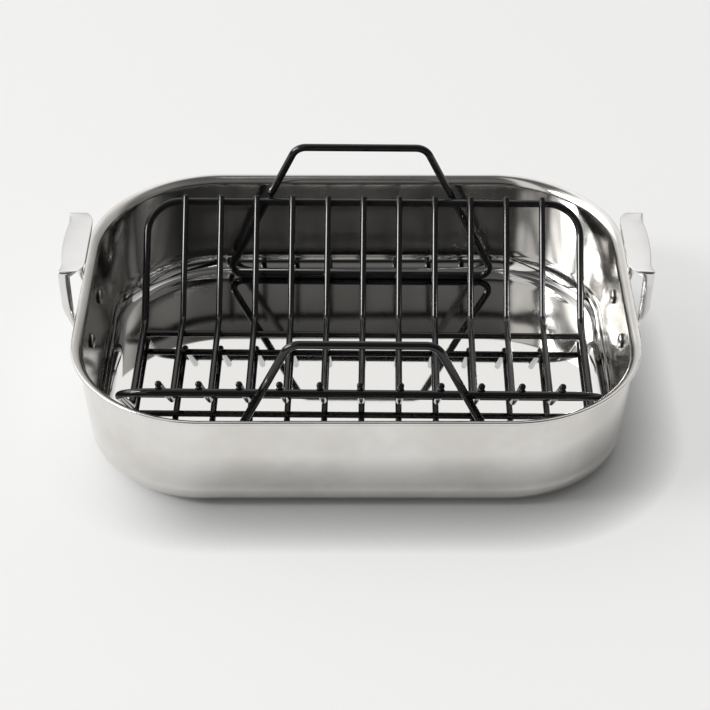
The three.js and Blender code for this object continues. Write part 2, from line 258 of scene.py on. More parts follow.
lip_centre_inset = -LIP_RADIUS * np.cos(LIP_ANGLE)
lip_centre_z = PAN_HEIGHT - (LIP_RADIUS + SHEET) * np.sin(LIP_ANGLE)
lip_bend_inset = lip_centre_inset + (LIP_RADIUS - LIP_BEND_RADIUS) * np.cos(LIP_BEND_ANGLE)
lip_bend_z = lip_centre_z + (LIP_RADIUS - LIP_BEND_RADIUS) * np.sin(LIP_BEND_ANGLE)
wall_top_inset = lip_bend_inset + LIP_BEND_RADIUS * np.cos(WALL_LEAN)
wall_top_z = lip_bend_z + LIP_BEND_RADIUS * np.sin(WALL_LEAN)
wall_foot_z = BASE_RADIUS * (1 - np.sin(WALL_LEAN))
wall_bow = (wall_top_z - wall_foot_z) * np.tan(WALL_BOW_ANGLE) / 4


def bow(share):
    """How far the wall stands out from a straight line: a parabola, 0 at both ends."""
    return wall_bow * 4 * share * (1 - share)


def wall_inset(z):
    """How far in from the edge of the lip the outer face of the wall is, at height z."""
    share = np.clip((z - wall_foot_z) / (wall_top_z - wall_foot_z), 0, 1)
    return wall_top_inset + (wall_top_z - z) * np.tan(WALL_LEAN) - bow(share)


floor_inset = wall_inset(wall_foot_z) + BASE_RADIUS * np.cos(WALL_LEAN)
print("bow of the wall:", round(wall_bow, 2), "mm")

# %% Section of the pan, from the middle of the underside round the lip to the floor
BASE_POINTS = 20
WALL_POINTS = 18
BEND_UNDER_POINTS, BEND_OVER_POINTS = 8, 12
FLARE_UNDER_POINTS, FLARE_OVER_POINTS = 11, 14
EDGE_POINTS = 5
FLOOR_RINGS = 12


def arc(inset, z, radius, start, stop, count):
    """Places [inset, z] on an arc about a centre."""
    angle = np.linspace(start, stop, count)
    return np.stack([inset + radius * np.cos(angle), z + radius * np.sin(angle)], axis=-1)


def pan_section():
    """The section's places, and how far each ring is drawn towards the middle of the floor.

    Base arcs, a slightly bowed wall, a tight bend, the wider arc of the flare, and two small
    arcs round the edge of the lip; then the same back along the inside."""
    upright = np.pi - WALL_LEAN - WALL_BOW_ANGLE
    lip_start = WALL_LEAN - WALL_BOW_ANGLE
    down = 1.5 * np.pi
    base = (floor_inset, BASE_RADIUS)
    outer_base = arc(*base, BASE_RADIUS, down, upright, BASE_POINTS)
    inner_base = arc(*base, BASE_RADIUS - SHEET, upright, down, BASE_POINTS)
    lip = (lip_centre_inset, lip_centre_z)
    edge = LIP_EDGE_RADIUS
    bend = (lip_bend_inset, lip_bend_z)
    over = LIP_RADIUS + SHEET
    bend_under = arc(*bend, LIP_BEND_RADIUS, lip_start, LIP_BEND_ANGLE, BEND_UNDER_POINTS)[:-1]
    bend_over = arc(*bend, LIP_BEND_RADIUS + SHEET, LIP_BEND_ANGLE, lip_start, BEND_OVER_POINTS)[1:]
    under_stop, over_start = LIP_ANGLE - edge / LIP_RADIUS, LIP_ANGLE - edge / over
    flare_under = arc(*lip, LIP_RADIUS, LIP_BEND_ANGLE, under_stop, FLARE_UNDER_POINTS)
    flare_over = arc(*lip, over, over_start, LIP_BEND_ANGLE, FLARE_OVER_POINTS)
    lip_under = np.concatenate([bend_under, flare_under])
    lip_over = np.concatenate([flare_over, bend_over])
    out = np.array([-np.sin(LIP_ANGLE), np.cos(LIP_ANGLE)])
    up = np.array([np.cos(LIP_ANGLE), np.sin(LIP_ANGLE)])
    turn = np.linspace(0, np.pi / 2, EDGE_POINTS)[1:-1, None]
    low = LIP_RADIUS + edge - edge * np.cos(turn)
    low_edge = lip + low * up - (edge - edge * np.sin(turn)) * out
    high = over - edge + edge * np.sin(turn)
    high_edge = lip + high * up - (edge - edge * np.cos(turn)) * out
    wall_share = np.linspace(0, 1, WALL_POINTS)[1:-1, None]
    outward = bow(wall_share) * [-1, 0]
    outer_wall = outer_base[-1] + wall_share * (lip_under[0] - outer_base[-1]) + outward
    inner_wall = lip_over[-1] + wall_share * (inner_base[0] - lip_over[-1]) + outward
    inward = np.linspace(0, 1, FLOOR_RINGS)[1:-1]
    under = np.tile(outer_base[0], (len(inward), 1))
    floor = np.tile(inner_base[-1], (len(inward), 1))
    parts = [under, outer_base, outer_wall, lip_under, low_edge,
             high_edge, lip_over, inner_wall, inner_base, floor]
    places = np.concatenate(parts)
    draw = np.ones(len(places))
    draw[: len(inward)] = inward
    draw[-len(inward):] = inward[::-1]
    return places, draw


section, draw = pan_section()
print("points in the section:", len(section))

# %% The rim's outline and the shell
CORNER_STEPS = 44
LONG_SIDE_STEPS = 26
END_STEPS = 18


def rim_outline():
    """Corner middles and outward directions round the rim.

    A point of the rim is a middle plus the corner radius times the direction. Round a corner
    the direction turns; along a side the middle moves."""
    half = np.array([RIM_LENGTH, RIM_WIDTH]) / 2 - RIM_CORNER_RADIUS
    signs = np.array([[1, 1], [-1, 1], [-1, -1], [1, -1]])
    middles, angles = [], []
    for quarter, sign in enumerate(signs):
        start = quarter * np.pi / 2
        side_steps = LONG_SIDE_STEPS if quarter % 2 == 0 else END_STEPS
        onward = np.linspace(0, 1, side_steps + 1)[1:-1, None]
        next_middle = half * signs[(quarter + 1) % 4]
        middles += [np.tile(half * sign, (CORNER_STEPS + 1, 1))]
        middles += [half * sign + onward * (next_middle - half * sign)]
        angles += [start + np.linspace(0, np.pi / 2, CORNER_STEPS + 1)]
        angles += [np.full(side_steps - 1, start + np.pi / 2)]
    angle = np.concatenate(angles)
    return np.concatenate(middles), np.stack([np.cos(angle), np.sin(angle)], axis=-1)


def pan_shell():
    """Every place of the section carried round the outline, and the grain attribute."""
    middle, direction = rim_outline()
    inset, z = section.T
    reach = (RIM_CORNER_RADIUS - inset)[:, None, None]
    flat = (middle + reach * direction) * draw[:, None, None]
    height = np.broadcast_to(z[:, None, None], flat.shape[:2] + (1,))
    rings = np.concatenate([flat, height], axis=-1)
    rim = middle + RIM_CORNER_RADIUS * direction
    lengths = np.linalg.norm(np.roll(rim, -1, axis=0) - rim, axis=-1)
    round_rim = np.concatenate([[0], np.cumsum(lengths)[:-1]])
    angle = round_rim / lengths.sum() * 2 * np.pi
    circle = lengths.sum() / (2 * np.pi) * np.stack([np.cos(angle), np.sin(angle)], axis=-1)
    steps = np.linalg.norm(np.diff(section, axis=0), axis=-1)
    along = np.concatenate([[0], np.cumsum(steps)])
    grain = np.zeros(rings.shape)
    grain[..., :2] = circle
    grain[..., 2] = along[:, None]
    return rings, grain, along


rings, grain, along = pan_shell()
lip_top = along[np.argmax(section[:, 1])]
floor_edge = along[-1]
print("rings:", len(rings), "lip at", round(lip_top, 1), "floor at", round(floor_edge, 1))

# %% The finish of the pan
GRAIN = "grain"
LIP_FADE = 2.0
FLOOR_FADE = (30.0, 14.0)
PRESS_STREAKS = (120.0, 120.0, 9.0)
WALL_WAVES = (34.0, 34.0, 7.0)
WAVE_BUMP = (0.0004, 0.05)
CLOUD_SCALE, CLOUD_EDGES = 20.0, (0.34, 0.68)
OUTSIDE_ROUGHNESS = (0.08, 0.09)
WALL_ROUGHNESS = (0.11, 0.07)
FLOOR_ROUGHNESS = (0.03, 0.01)
WIPED_DARK = (0.70, 0.68, 0.65, 1)
WIPED_PALE = (0.80, 0.785, 0.76, 1)
MIRROR_FLOOR = (0.74, 0.735, 0.725, 1)


def pan_steel():
    """Roughness by zone: clouds outside, streaks on the inner walls, little on the floor."""
    material, steel = new_finish("pan_steel")
    place = steel.node("ShaderNodeAttribute", {"attribute_name": GRAIN}, None, "Vector")
    along_section = steel.axis(place, "Z")
    inside = steel.step(along_section, (lip_top - LIP_FADE) * MM, (lip_top + LIP_FADE) * MM)
    floor = steel.step(along_section, *[(floor_edge - fade) * MM for fade in FLOOR_FADE])
    pressed = steel.noise(steel.stretched(place, PRESS_STREAKS), 1.0, 3.0)
    waves = steel.noise(steel.stretched(place, WALL_WAVES), 1.0, 1.0)
    wiped = steel.step(steel.noise(steel.object_place(), CLOUD_SCALE, 4.0), *CLOUD_EDGES)
    rough_outside = steel.varied(OUTSIDE_ROUGHNESS, wiped) * (1 - inside)
    rough_wall = inside * (1 - floor) * steel.varied(WALL_ROUGHNESS, pressed)
    rough_floor = floor * steel.varied(FLOOR_ROUGHNESS, wiped)
    roughness = rough_outside + rough_wall + rough_floor
    colour = steel.blend(floor, steel.blend(wiped, WIPED_DARK, WIPED_PALE), MIRROR_FLOOR)
    normal = steel.bump(waves * (1 - floor), *WAVE_BUMP)
    steel.finish(Base_Color=colour, Metallic=1.0, Roughness=roughness, Normal=normal)
    return material


# %% The pan, with its grain


def make_pan():
    """The shell as a piece; the two hubs of its end rings get the ends of the section."""
    piece = make_piece("pan", capped(rings), "pan", pan_steel(), ["pan_shell"])
    vectors = np.concatenate([grain.reshape(-1, 3), np.zeros((2, 3))])
    vectors[-2:, 2] = 0, along[-1]
    layer = piece.data.attributes.new(GRAIN, "FLOAT_VECTOR", "POINT")
    layer.data.foreach_set("vector", (vectors * MM).ravel())


make_pan()

# %% [markdown]
# ## Cast handles
#
# Each handle is one casting: two feet on the end wall, two legs that bow out round the
# lip, and a flat grip plate whose outer corners end in points. It could be a bevelled
# box, but its width changes all the way along, so it is a rounded section swept from one
# foot to the other. A section is a four-sided figure between a `far` point on the outside
# of the loop and a `near` point on its inside, with its own inner and outer edge at both.

# %% Sizes of a handle
HANDLE_RISE = 41.0
HANDLE_SPAN = 80.0
PLATE_WIDTH = 18.8
PLATE_THICKNESS = 5.0
PLATE_OVERHANG = 9.0
PLATE_HOLLOW = 2.3
PLATE_HOLLOW_Y = 29.0
PLATE_CORNER = (10.0, 14.5)
PLATE_CROWN = 0.5
LEG_WIDTH = 7.6
LEG_DEPTH = 8.0
BEND_OUTER_RADIUS = 2.5
BEND_INNER_RADIUS = 5.0
LIP_CLEARANCE = 0.9
FOOT_WIDTH = 16.0
FOOT_THICKNESS = 4.5
FOOT_LENGTH = 19.0
FOOT_END_SHARE = 0.55
CASTING_ROUND = 0.8
LEG_ROUND = 2.9
SEAT_GAP = 0.05
LEG_OUTER_RUN = (59.0, 93.0)
LEG_INNER_RUN = (64.0, 81.5)
RIVET_SPACING = 56.0
RIVET_DROP = 28.0

rivet_z = PAN_HEIGHT - RIVET_DROP
plate_top = PAN_HEIGHT + HANDLE_RISE
plate_end = HANDLE_SPAN / 2
plate_inner = PLATE_OVERHANG - PLATE_WIDTH
print("top of the grip plates:", plate_top, "mm")

# %% Smooth steps, and the outline of the grip plate
PLATE_POINT_POWER = 2.2
PLATE_INNER_EASE = 0.5


def smooth(share):
    """0 to 1 with a level start and end."""
    share = np.clip(share, 0, 1)
    return share * share * (3 - 2 * share)


def mix(first, second, share):
    """The first value at share 0, the second at share 1."""
    return first + (second - first) * share


def run_share(z, run):
    """0 to 1 between the two heights of a run."""
    return smooth((z - run[0]) / (run[1] - run[0]))


def plate_outer_edge(y):
    """Outer edge of the plate: a long bulge falls to a hollow, then a power flares to a point."""
    away = np.abs(y)
    bulge = (away / PLATE_HOLLOW_Y) ** 2
    past = np.clip(away - PLATE_HOLLOW_Y, 0, None) / (plate_end - PLATE_HOLLOW_Y)
    flare = 1 - past**PLATE_POINT_POWER
    return PLATE_OVERHANG - PLATE_HOLLOW * np.where(away < PLATE_HOLLOW_Y, bulge, flare)


def plate_inner_edge(y):
    """Inner edge of the plate: straight, with a quarter of an ellipse at each end."""
    wide, long = PLATE_CORNER
    into = np.clip(np.abs(y) - (plate_end + PLATE_INNER_EASE - long), 0, long) / long
    return plate_inner + wide * (1 - np.sqrt(1 - into**2))


print("grip plate, middle:", plate_inner_edge(0.0), "to", plate_outer_edge(0.0), "mm")


# %% Sections along half a handle
FOOT_ROWS, LEG_ROWS, BEND_ROWS, PLATE_ROWS = 17, 40, 14, 26
FOOT_TIP = 0.992
PLATE_ROW_POWER = 1.25
UNDERSIDE_INNER_STEP = 0.4
UNDERSIDE_OUTER_STEP = 0.6
UNDERSIDE_LEAST_STEP = 0.3


def handle_half():
    """Rows of [far y, far z, near y, near z, far inner, far outer, near inner, near outer].

    Foot: level slices of a tongue with a half-round end, lying on the leaning wall.
    Leg: slices that move out by a smooth step, low on the inside and higher outside.
    Bend: the far and near points go round two arcs.
    Plate: both points run to the middle, and the edges follow the plate's outline."""
    foot_y = -RIVET_SPACING / 2
    leg_y = -(HANDLE_SPAN - LEG_DEPTH) / 2
    foot_top = rivet_z + FOOT_LENGTH / 2
    leg_outer = LIP_CLEARANCE + LEG_WIDTH
    bend_z = plate_top - PLATE_THICKNESS - BEND_INNER_RADIUS

    run = -np.cos(np.linspace(0, np.pi, FOOT_ROWS))
    z = rivet_z + run * FOOT_LENGTH / 2
    end = np.clip((FOOT_END_SHARE - 1 - run) / FOOT_END_SHARE, 0, FOOT_TIP)
    full = np.sqrt(1 - end**2)
    half = FOOT_WIDTH / 2 * full
    seat = SEAT_GAP - wall_inset(z)
    thickness = FOOT_THICKNESS * (0.5 + 0.5 * full)
    face = mix(seat + thickness, leg_outer, run_share(z, LEG_OUTER_RUN))
    foot = [foot_y - half, z, foot_y + half, z, seat, face, seat, face]

    z = np.linspace(foot_top, bend_z, LEG_ROWS)[1:-1]
    swing = run_share(z, LEG_INNER_RUN)
    y = mix(foot_y, leg_y, (z - foot_top) / (bend_z - foot_top))
    half = mix(FOOT_WIDTH, LEG_DEPTH, swing) / 2
    seat = SEAT_GAP - wall_inset(z)
    inner = mix(seat, LIP_CLEARANCE, swing)
    outer = mix(seat + FOOT_THICKNESS, leg_outer, run_share(z, LEG_OUTER_RUN))
    leg = [y - half, z, y + half, z, inner, outer, inner, outer]

    share = np.linspace(0, 1, BEND_ROWS)
    back, up = np.cos(share * np.pi / 2), np.sin(share * np.pi / 2)
    near_start = leg_y + LEG_DEPTH / 2 + BEND_INNER_RADIUS
    far_y = -plate_end + BEND_OUTER_RADIUS * (1 - back)
    far_z = plate_top + BEND_OUTER_RADIUS * (up - 1)
    near_y = near_start - BEND_INNER_RADIUS * back
    near_z = bend_z + BEND_INNER_RADIUS * up
    far_inner = mix(LIP_CLEARANCE, plate_inner_edge(far_y), up)
    far_outer = mix(leg_outer, plate_outer_edge(far_y), up)
    plate_start = plate_inner_edge(BEND_OUTER_RADIUS - plate_end)
    near_inner = mix(LIP_CLEARANCE, plate_start + UNDERSIDE_INNER_STEP, up)
    near_outer = mix(leg_outer, leg_outer - UNDERSIDE_OUTER_STEP, share)
    bend = [far_y, far_z, near_y, near_z, far_inner, far_outer, near_inner, near_outer]

    left = 1 - np.linspace(0, 1, PLATE_ROWS)[1:] ** PLATE_ROW_POWER
    far_y = left * (BEND_OUTER_RADIUS - plate_end)
    near_y = left * near_start
    level = np.ones_like(left)
    far_inner, far_outer = plate_inner_edge(far_y), plate_outer_edge(far_y)
    near_inner = far_inner + UNDERSIDE_INNER_STEP
    near_outer = np.minimum(leg_outer - UNDERSIDE_OUTER_STEP, far_outer - UNDERSIDE_LEAST_STEP)
    plate = [far_y, plate_top * level, near_y, (plate_top - PLATE_THICKNESS) * level,
             far_inner, far_outer, near_inner, near_outer]
    return np.concatenate([np.stack(part, axis=-1) for part in (foot, leg, bend, plate)])


print("sections along half a handle:", len(handle_half()))

# %% A handle from its sections
CORNER_POINTS = 8
MOST_ROUNDING = 0.45


def handle_shape(end):
    """Each row's figure, drawn as a rounded rectangle, from the front foot to the back foot.

    A corner's points lie on a quarter circle; `across` and `out` are their shares of the
    figure's two sides, and a mix of its four corners gives the place. The top of the plate
    falls away from its middle line by a parabola."""
    front = handle_half()
    back = front[-2::-1] * [-1, 1, -1, 1, 1, 1, 1, 1]
    rows = np.concatenate([front, back])[:, None, :]
    far_y, far_z, near_y, near_z, *edges = np.moveaxis(rows, -1, 0)
    far_inner, far_outer, near_inner, near_outer = edges
    width = (far_outer - far_inner + near_outer - near_inner) / 2
    depth = np.hypot(far_y - near_y, far_z - near_z)
    on_leg = smooth((plate_top - PLATE_THICKNESS - near_z) / BEND_INNER_RADIUS)
    rounding = mix(CASTING_ROUND, LEG_ROUND, on_leg)
    rounding = np.minimum(rounding, np.minimum(width, depth) * MOST_ROUNDING)
    quarter = np.repeat(np.arange(4), CORNER_POINTS)
    angle = (quarter + np.tile(np.linspace(0, 1, CORNER_POINTS), 4)) * np.pi / 2
    side_x = np.array([1, -1, -1, 1])[quarter]
    side_y = np.array([1, 1, -1, -1])[quarter]
    across = 0.5 + (side_x * (width / 2 - rounding) + rounding * np.cos(angle)) / width
    out = 0.5 + (side_y * (depth / 2 - rounding) + rounding * np.sin(angle)) / depth
    x = mix(mix(near_inner, near_outer, across), mix(far_inner, far_outer, across), out)
    y = mix(near_y, far_y, out)
    z = mix(near_z, far_z, out)
    on_plate = smooth((z - (plate_top - PLATE_THICKNESS / 2)) / (PLATE_THICKNESS / 2))
    z = z - PLATE_CROWN * on_plate * (2 * across - 1) ** 2
    return capped(np.stack([end * (RIM_LENGTH / 2 + x), y, z], axis=-1))


print("points of a handle:", len(handle_shape(1)[0]))


# %% [markdown]
# ## Cast steel
#
# A casting is polished by hand on a wheel. It keeps the soft lumps of its mould and gets fine
# hairs along its length, so the bump is a coarse noise and a little of a stretched one, and
# a cloudy noise moves the colour and the roughness.

# %% Cast steel, polished, and the two handles
LUMP_SCALE, WIPE_SCALE = 90.0, 60.0
HAIR_STREAKS = (1600.0, 220.0, 1600.0)
LUMP_SHARE, HAIR_SHARE = 0.8, 0.12
CAST_DARK = (0.72, 0.715, 0.705, 1)
CAST_PALE = (0.82, 0.815, 0.81, 1)
CAST_BUMP = (0.00008, 0.5)
CAST_ROUGHNESS = (0.08, 0.07)
ENDS = (("left", -1), ("right", 1))


def cast_steel():
    """Lumps and hairs in the bump; clouds in the colour and the roughness."""
    material, steel = new_finish("handle_steel")
    place = steel.object_place()
    lumps = steel.noise(place, LUMP_SCALE, 2.0)
    hairs = steel.noise(steel.stretched(place, HAIR_STREAKS), 1.0, 2.0)
    wiped = steel.noise(place, WIPE_SCALE, 4.0)
    colour = steel.blend(wiped, CAST_DARK, CAST_PALE)
    roughness = steel.varied(CAST_ROUGHNESS, wiped)
    normal = steel.bump(lumps * LUMP_SHARE + hairs * HAIR_SHARE, *CAST_BUMP)
    steel.finish(Base_Color=colour, Metallic=1.0, Roughness=roughness, Normal=normal)
    return material


handle_finish = cast_steel()
for end_name, end in ENDS:
    nodes = [f"{end_name}_handle"]
    make_piece(f"{end_name}_grip", handle_shape(end), "pan", handle_finish, nodes)

# %% [markdown]
# ## Rivets
#
# A domed head shows inside the pan, and an upset tail on the foot outside. A rivet is the
# textbook turned shape, so its half section is swept round its own axis. The axis stands
# square to the leaning wall. Each point carries how near the rim of its head it is, and the
# finish paints a dark, dull band of shade there, where the head meets the wall.

# %% A rivet, turned about an axis that is square to the wall
RIVET_HEAD = (5.6, 3.3)
RIVET_TAIL = (4.2, 1.4)
RIVET_SHANK_RADIUS = 2.5
RIVET_SIDES = 40
DOME_POWER = 0.5
DOME_RIM_SHARE = 0.2
DOME_CROWN_SHARE = 0.06
DOME_POINTS = 14


def dome(radius, height, seat, sign):
    """Places [radius, along] of a dome: a short upright rim, then a curve, steepest at the rim.

    The curve rises as one less the squared share of the radius, to the power of DOME_POWER."""
    rim = DOME_RIM_SHARE * height
    share = np.linspace(1, DOME_CROWN_SHARE, DOME_POINTS)
    rise = np.concatenate([[0], rim + (height - rim) * (1 - share**2) ** DOME_POWER])
    wide = np.concatenate([[1], share]) * radius
    return np.stack([wide, seat + sign * rise], axis=-1)


def rivet_section():
    """Places [radius, along] from the crown of the head to that of the tail, and rim shares.

    A rim share is a place's radius over that of its own dome: 1 at the rim."""
    head_seat, tail_seat = -SHEET - SEAT_GAP, FOOT_THICKNESS + SEAT_GAP
    head = dome(*RIVET_HEAD, head_seat, -1)[::-1]
    tail = dome(*RIVET_TAIL, tail_seat, 1)
    shank = np.stack([np.full(2, RIVET_SHANK_RADIUS), [head_seat, tail_seat]], axis=-1)
    rim = np.concatenate([head[:, 0] / RIVET_HEAD[0], [1, 1], tail[:, 0] / RIVET_TAIL[0]])
    return np.concatenate([head, shank, tail]), rim


def rivet_shape(end, side):
    """The half section turned through a full circle, set on the wall."""
    radius, depth = rivet_section()[0].T[..., None]
    turn = np.linspace(0, 2 * np.pi, RIVET_SIDES, endpoint=False)
    out = np.array([end * np.cos(WALL_LEAN), 0, -np.sin(WALL_LEAN)])
    across = np.array([0.0, 1.0, 0.0])
    up = np.cross(out, across)
    seat_x = end * (RIM_LENGTH / 2 - wall_inset(rivet_z))
    seat = np.array([seat_x, side * RIVET_SPACING / 2, rivet_z])
    flat = (radius * np.cos(turn))[..., None] * across
    rings = flat + (radius * np.sin(turn))[..., None] * up
    return capped(seat + rings + depth[..., None] * out)


print("rings along a rivet:", len(rivet_section()[1]))

# %% Rivet steel, with painted shade round each head
SIDES = (("front", -1), ("back", 1))
RIM = "rim"
# Where the rim share lies in this band, the head gets painted shade: a dark, dull line where it
# meets the wall.
RIM_SHADE_BAND = (0.89, 0.985)
SPOT_SCALE = 420.0
RIVET_DARK = (0.62, 0.615, 0.605, 1)
RIVET_PALE = (0.82, 0.815, 0.805, 1)
RIVET_RIM_SHADE = (0.05, 0.048, 0.045, 1)
RIVET_BUMP = (0.00004, 0.5)
RIVET_ROUGHNESS = (0.05, 0.05)
RIM_SHADE_ROUGHNESS = 0.3


def rivet_steel():
    """Fine spots in the colour, and painted shade at the rim of the head: a dark, dull band."""
    material, steel = new_finish("rivet_steel")
    spots = steel.noise(steel.object_place(), SPOT_SCALE, 3.0)
    rim = steel.node("ShaderNodeAttribute", {"attribute_name": RIM}, None, "Fac")
    # Painted shade round the rim of the head, where it meets the wall; it is also rougher there.
    rim_shade = steel.step(rim, *RIM_SHADE_BAND)
    colour = steel.blend(rim_shade, steel.blend(spots, RIVET_DARK, RIVET_PALE), RIVET_RIM_SHADE)
    roughness = steel.varied(RIVET_ROUGHNESS, spots) + rim_shade * RIM_SHADE_ROUGHNESS
    normal = steel.bump(spots, *RIVET_BUMP)
    steel.finish(Base_Color=colour, Metallic=1.0, Roughness=roughness, Normal=normal)
    return material


def make_rivet(name, shape):
    """A rivet as a piece, with its rim shares; the hubs of its end rings get 0."""
    nodes = [f"{name}_rivet"]
    piece = make_piece(f"{name}_fixing", shape, "pan", rivet_finish, nodes)
    rims = np.concatenate([np.repeat(rivet_section()[1], RIVET_SIDES), [0, 0]])
    piece.data.attributes.new(RIM, "FLOAT", "POINT").data.foreach_set("value", rims)


rivet_finish = rivet_steel()
for end_name, end in ENDS:
    for side_name, side in SIDES:
        make_rivet(f"{end_name}_{side_name}", rivet_shape(end, side))

# %% [markdown]
# ## Bent wire
#
# The rack is bent from two thicknesses of wire, welded and then coated black. Blender's
# curves with a bevel would do, but the bends here are true arcs of a known radius and the
# wires' ends are rounded over, so the tube is a circle carried along a rounded path. Every
# wire stays clear of one direction, its `aside`, and the cross product of the path with
# that direction gives the circle its axes, all along the path at once.

# %% A rounded path
BEND_STEP = np.radians(4.0)


def bend_arc(before, corner, after, radius):
    """The arc of that radius that touches both legs of a corner.

    Its centre is on the line that halves the corner, and a mix of the two end spokes by the
    sines of the angles left and done gives the spokes between them."""
    back = (before - corner) / np.linalg.norm(before - corner)
    onward = (after - corner) / np.linalg.norm(after - corner)
    turn = np.pi - np.arccos(np.clip(back @ onward, -1, 1))
    reach = radius * np.tan(turn / 2)
    middle = (back + onward) / np.linalg.norm(back + onward)
    centre = corner + middle * np.hypot(radius, reach)
    start, stop = corner + back * reach - centre, corner + onward * reach - centre
    share = np.linspace(0, 1, int(np.ceil(turn / BEND_STEP)) + 1)[:, None]
    spokes = start * np.sin((1 - share) * turn) + stop * np.sin(share * turn)
    return centre + spokes / np.sin(turn)


def rounded_path(corners, radii, closed=False):
    """A path through corners, each bent to its radius; the ends of an open path stay sharp."""
    count = len(corners)
    parts = []
    for i, (corner, radius) in enumerate(zip(corners, radii)):
        if not closed and i in (0, count - 1):
            parts.append(corner[None])
        else:
            parts.append(bend_arc(corners[i - 1], corner, corners[(i + 1) % count], radius))
    return np.concatenate(parts)


# %% A tube along a path
TIP_POINTS = 7


def unit(vectors):
    """Vectors made one long."""
    return vectors / np.linalg.norm(vectors, axis=-1, keepdims=True)


def rounded_over(path, radius, rounding):
    """The path and the wire's radius along it, with a quarter circle at both cut ends."""
    turn = np.linspace(0, np.pi / 2, TIP_POINTS)[1:, None]
    first, last = unit(path[0] - path[1]), unit(path[-1] - path[-2])
    start, stop = path[0] - first * rounding, path[-1] - last * rounding
    head = (start + first * rounding * np.sin(turn))[::-1]
    tail = stop + last * rounding * np.sin(turn)
    ends = (radius - rounding + rounding * np.cos(turn)).ravel()
    full = np.full(len(path), radius)
    whole = np.concatenate([head, start[None], path[1:-1], stop[None], tail])
    return whole, np.concatenate([ends[::-1], full, ends])


def tube(path, radius, aside, sides, closed=False, rounding=0.0):
    """Circles square to the path: the path x aside is one axis, that axis x the path the other."""
    radii = np.full(len(path), radius)
    along = unit(np.roll(path, -1, axis=0) - path) + unit(path - np.roll(path, 1, axis=0))
    if not closed:
        path, radii = rounded_over(path, radius, rounding)
        along = np.gradient(path, axis=0)
    along = unit(along)
    first = unit(np.cross(along, aside))
    second = np.cross(first, along)
    turn = np.linspace(0, 2 * np.pi, sides, endpoint=False)[None, :, None]
    circle = np.cos(turn) * first[:, None] + np.sin(turn) * second[:, None]
    rings = path[:, None] + radii[:, None, None] * circle
    if closed:
        return rings.reshape(-1, 3), skin(len(rings), sides, True), NO_TRIANGLES
    return capped(rings)


# %% [markdown]
# ## The rack
#
# A thick closed frame edges the rack: a bar along the front and the back, and a dip at each
# end. Thin wires bent to the same dip lie on it and on two braces. A thick loop stands
# upright outside each bar, its narrow top the carrying grip and its wide bottom the foot
# of the rack. The rack stands loose, so it lies a little turned and off the middle.

# %% Sizes of the rack
THICK = 2.9
THIN = 2.4
WELD_GAP = 0.3
RACK_SIDE_MARGIN = 2.0
RACK_END_MARGIN = 5.1
FRAME_DROP = 5.2
FRAME_CORNER_RADIUS = 26.0
FRAME_BEND_RADIUS = 16.0
CRADLE_WIDTH = 107.0
DECK_HEIGHT = 14.0
WIRE_COUNT = 11
WIRE_END_DISTANCE = 30.0
WIRE_BEND_RADIUS = 11.0
WIRE_TIP = 4.0
BRACE_INSET = 15.0
GRIP_RISE = 41.0
GRIP_WIDTH = 100.0
GRIP_BEND_RADIUS = 12.0
STAND_END_MARGIN = 14.0
STAND_BEND_RADIUS = 8.0
LOOP_SHIFTS = {-1: 1.8, 1: -2.3}
RACK_TURN = np.radians(-0.75)
RACK_SHIFT = np.array([4.3, 1.7, 0.0])
END_ROUNDING = 1.6
BRACE_ROUNDING = 0.3
THICK_SIDES = 24
THIN_SIDES = 20

stand_z = SHEET + WELD_GAP + THICK
grip_z = PAN_HEIGHT + GRIP_RISE
loop_y = RIM_WIDTH / 2 - floor_inset - RACK_SIDE_MARGIN - THICK
frame_y = loop_y - 2 * THICK - WELD_GAP
frame_x = RIM_LENGTH / 2 - floor_inset - RACK_END_MARGIN - THICK
frame_top_z = PAN_HEIGHT - FRAME_DROP
deck_z = SHEET + DECK_HEIGHT
wire_lay = THICK + THIN + WELD_GAP
frame_low_z = deck_z - wire_lay
frame_low_y = CRADLE_WIDTH / 2
arm_angle = np.arctan2(frame_top_z - frame_low_z, frame_y - frame_low_y)
wire_low_y = frame_low_y - wire_lay * np.tan(arm_angle / 2)
brace_y = frame_low_y - BRACE_INSET
brace_z = deck_z - 2 * THIN - WELD_GAP
floor_corner = RIM_CORNER_RADIUS - floor_inset
corner_run = np.sqrt(floor_corner**2 - (floor_corner - RACK_SIDE_MARGIN) ** 2)
stand_reach = RIM_LENGTH / 2 - RIM_CORNER_RADIUS + corner_run - STAND_END_MARGIN
wire_places = np.linspace(-1, 1, WIRE_COUNT) * (frame_x - WIRE_END_DISTANCE)
AXES = np.eye(3)
print("deck at", deck_z, "mm, arms at", round(np.degrees(arm_angle), 1), "degrees")

# %% Where the rack lies


def laid(shape):
    """A shape of the rack, turned and shifted to where the rack lies in the pan."""
    points, quads, triangles = shape
    cos, sin = np.cos(RACK_TURN), np.sin(RACK_TURN)
    turned = points @ np.array([[cos, sin, 0], [-sin, cos, 0], [0, 0, 1]])
    return turned + RACK_SHIFT, quads, triangles


print("the rack is turned by", round(np.degrees(RACK_TURN), 2), "degrees")

# %% Frame, wires, braces and loops


def frame_shape():
    """Eight corners round the rack: the top of an arm, its two low bends, the top of the other."""
    dip = np.array([[frame_y, frame_top_z], [frame_low_y, frame_low_z],
                    [-frame_low_y, frame_low_z], [-frame_y, frame_top_z]])
    right = np.column_stack([np.full(4, frame_x), dip])
    corners = np.concatenate([right, right * [-1, -1, 1]])
    radii = [FRAME_CORNER_RADIUS, FRAME_BEND_RADIUS, FRAME_BEND_RADIUS, FRAME_CORNER_RADIUS] * 2
    return tube(rounded_path(corners, radii, True), THICK, AXES[2], THICK_SIDES, True)


